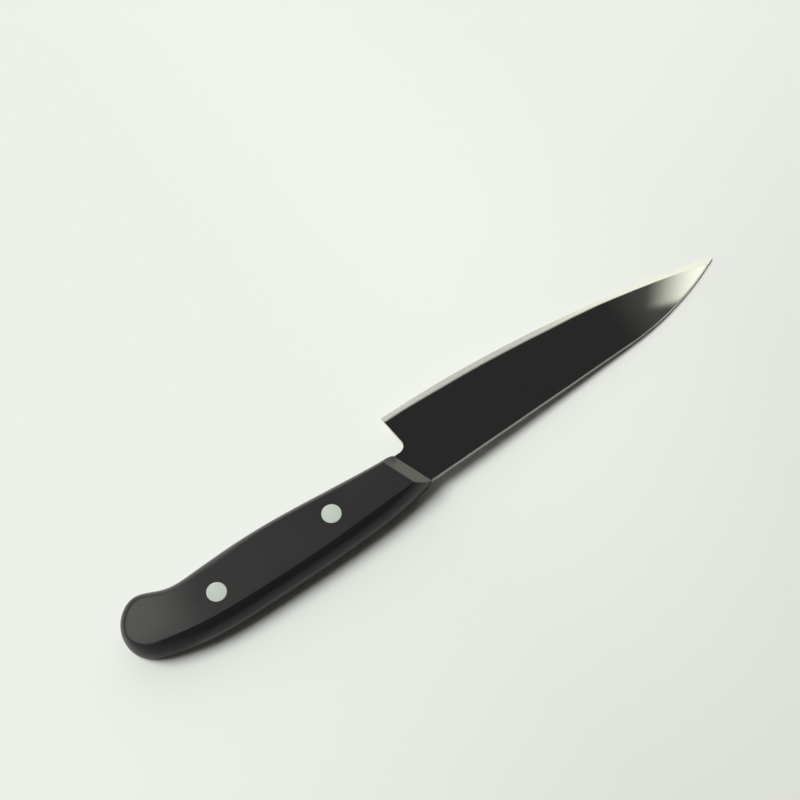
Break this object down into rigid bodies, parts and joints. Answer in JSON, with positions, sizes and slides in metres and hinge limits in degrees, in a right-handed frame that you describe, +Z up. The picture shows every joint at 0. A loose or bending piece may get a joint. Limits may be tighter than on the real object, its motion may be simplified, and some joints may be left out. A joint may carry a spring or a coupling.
{
  "type": "paring knife",
  "caption": "Small kitchen knife with a pointed steel blade, squared heel, hooked butt and black riveted handle halves with flat sides and a sloped front, lying on its side.",
  "frame": {"origin": "on the lower flat of the handle, where the knife rests, midway between the two rivets", "axes": "+X towards the tip of the blade, +Y towards the cutting edge, +Z up through the handle's thickness"},
  "size_m": [0.2176, 0.0292, 0.012],
  "materials": {
    "blade_steel": "fine satin, nearly mirror",
    "handle_plastic": "dense black, semi-gloss",
    "rivet_metal": "matte, flush with the handle"
  },
  "bodies": {
    "root": {"blade": "blade_steel", "left_handle_scale": "handle_plastic", "right_handle_scale": "handle_plastic", "front_rivet_pin": "rivet_metal", "front_rivet_sleeve": "rivet_metal", "rear_rivet_pin": "rivet_metal", "rear_rivet_sleeve": "rivet_metal"}
  },
  "joints": []
}
